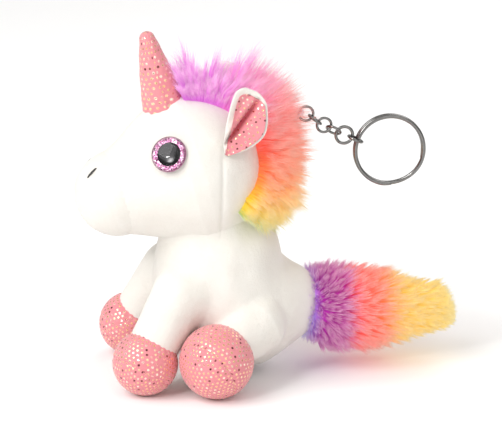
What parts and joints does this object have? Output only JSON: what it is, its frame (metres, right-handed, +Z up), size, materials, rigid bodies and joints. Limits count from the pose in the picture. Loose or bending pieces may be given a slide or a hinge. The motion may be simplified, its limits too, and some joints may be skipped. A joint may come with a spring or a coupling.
{
  "type": "plush unicorn",
  "caption": "Small stuffed unicorn lying on its belly, with foil-dotted horn and hooves, rainbow faux fur mane and tail, glitter eyes, and a chain with a split ring.",
  "frame": {"origin": "centre of the bounding box, on the surface it rests on", "axes": "the unicorn faces -Y, its left side is +X, +Z is up"},
  "size_m": [0.082, 0.1291, 0.1197],
  "materials": {
    "white_plush": "short pile velboa",
    "pink_foil_fabric": "pink fabric with foil dots",
    "rainbow_fur": "long faux fur, dyed in bands",
    "fur_backing": "knitted backing",
    "fibre_filling": "polyester fibre",
    "black_thread": "satin embroidery",
    "loop_ribbon": "satin cord",
    "eye_dome": "clear",
    "eye_pupil": "gloss",
    "eye_glitter": "glitter",
    "eye_fixing": "moulded",
    "chain_steel": "nickel plated"
  },
  "bodies": {
    "torso": {"torso_cover": "white_plush", "belly_panel": "white_plush", "torso_filling": "fibre_filling"},
    "head": {"head_cover": "white_plush", "head_filling": "fibre_filling", "horn_cover": "pink_foil_fabric", "horn_filling": "fibre_filling", "left_nostril_stitch": "black_thread", "right_nostril_stitch": "black_thread", "left_eye_dome": "eye_dome", "left_eye_pupil": "eye_pupil", "left_eye_glitter_disc": "eye_glitter", "left_eye_post": "eye_fixing", "left_eye_washer": "eye_fixing", "right_eye_dome": "eye_dome", "right_eye_pupil": "eye_pupil", "right_eye_glitter_disc": "eye_glitter", "right_eye_post": "eye_fixing", "right_eye_washer": "eye_fixing", "mane_backing": "fur_backing", "mane_pile": "rainbow_fur", "hanging_loop": "loop_ribbon"},
    "left_ear": {"left_ear_outer": "white_plush", "left_ear_lining": "pink_foil_fabric"},
    "right_ear": {"right_ear_outer": "white_plush", "right_ear_lining": "pink_foil_fabric"},
    "tail": {"tail_backing": "fur_backing", "tail_pile": "rainbow_fur", "tail_filling": "fibre_filling"},
    "front_left_leg": {"front_left_leg_cover": "white_plush", "front_left_hoof_cover": "pink_foil_fabric", "front_left_leg_filling": "fibre_filling"},
    "front_right_leg": {"front_right_leg_cover": "white_plush", "front_right_hoof_cover": "pink_foil_fabric", "front_right_leg_filling": "fibre_filling"},
    "hind_left_leg": {"hind_left_leg_cover": "white_plush", "hind_left_hoof_cover": "pink_foil_fabric", "hind_left_leg_filling": "fibre_filling"},
    "hind_right_leg": {"hind_right_leg_cover": "white_plush", "hind_right_hoof_cover": "pink_foil_fabric", "hind_right_leg_filling": "fibre_filling"},
    "chain_link_1": {"chain_link_1": "chain_steel"},
    "chain_link_2": {"chain_link_2": "chain_steel"},
    "chain_link_3": {"chain_link_3": "chain_steel"},
    "chain_link_4": {"chain_link_4": "chain_steel"},
    "jump_ring": {"jump_ring": "chain_steel"},
    "end_link": {"end_link": "chain_steel"},
    "split_ring": {"split_ring": "chain_steel"}
  },
  "joints": [
    {"name": "neck_nod", "type": "hinge", "parent": "torso", "child": "head", "pos_m": [0, -0.025, 0.071], "axis": [1, 0, 0], "range_deg": [-10, 10], "stiffness_Nm_per_rad": 0.06},
    {"name": "front_left_leg_swing", "type": "hinge", "parent": "torso", "child": "front_left_leg", "pos_m": [0.015, -0.0315, 0.032], "axis": [-1, 0, 0], "range_deg": [0, 25], "stiffness_Nm_per_rad": 0.02},
    {"name": "front_right_leg_swing", "type": "hinge", "parent": "torso", "child": "front_right_leg", "pos_m": [-0.015, -0.0315, 0.032], "axis": [-1, 0, 0], "range_deg": [0, 25], "stiffness_Nm_per_rad": 0.02},
    {"name": "hind_left_leg_swing", "type": "hinge", "parent": "torso", "child": "hind_left_leg", "pos_m": [0.016, -0.007, 0.021], "axis": [0, 0, 1], "range_deg": [0, 25], "stiffness_Nm_per_rad": 0.02},
    {"name": "hind_right_leg_swing", "type": "hinge", "parent": "torso", "child": "hind_right_leg", "pos_m": [-0.016, -0.007, 0.021], "axis": [0, 0, -1], "range_deg": [0, 25], "stiffness_Nm_per_rad": 0.02},
    {"name": "tail_wag", "type": "hinge", "parent": "torso", "child": "tail", "pos_m": [0, 0.0135, 0.022], "axis": [0, 0, 1], "range_deg": [-25, 25], "stiffness_Nm_per_rad": 0.01},
    {"name": "left_ear_flop", "type": "hinge", "parent": "head", "child": "left_ear", "pos_m": [0.0232, -0.016, 0.0815], "axis": [0.0535, 0.9397, -0.3378], "range_deg": [-6, 30], "stiffness_Nm_per_rad": 0.003},
    {"name": "right_ear_flop", "type": "hinge", "parent": "head", "child": "right_ear", "pos_m": [-0.0232, -0.016, 0.0815], "axis": [0.0535, -0.9397, 0.3378], "range_deg": [-6, 30], "stiffness_Nm_per_rad": 0.003},
    {"name": "chain_link_1_swing", "type": "hinge", "parent": "head", "child": "chain_link_1", "pos_m": [0, 0.0128, 0.0898], "axis": [1, 0, 0], "range_deg": [-35, 35]},
    {"name": "chain_link_2_swing", "type": "hinge", "parent": "chain_link_1", "child": "chain_link_2", "pos_m": [0, 0.01581, 0.08769], "axis": [0, 0.5736, 0.8192], "range_deg": [-35, 35]},
    {"name": "chain_link_3_swing", "type": "hinge", "parent": "chain_link_2", "child": "chain_link_3", "pos_m": [0, 0.01889, 0.08553], "axis": [-1, 0, 0], "range_deg": [-35, 35]},
    {"name": "chain_link_4_swing", "type": "hinge", "parent": "chain_link_3", "child": "chain_link_4", "pos_m": [0, 0.02215, 0.08365], "axis": [0, -0.5, -0.866], "range_deg": [-35, 35]},
    {"name": "jump_ring_swing", "type": "hinge", "parent": "chain_link_4", "child": "jump_ring", "pos_m": [0, 0.02541, 0.08177], "axis": [0.866, 0.25, 0.433], "range_deg": [-35, 35]},
    {"name": "end_link_swing", "type": "hinge", "parent": "jump_ring", "child": "end_link", "pos_m": [0, 0.02965, 0.08006], "axis": [0, 0.3746, 0.9272], "range_deg": [-35, 35]},
    {"name": "split_ring_swing", "type": "hinge", "parent": "end_link", "child": "split_ring", "pos_m": [0, 0.03313, 0.07865], "axis": [-1, 0, 0], "range_deg": [-25, 30]}
  ]
}
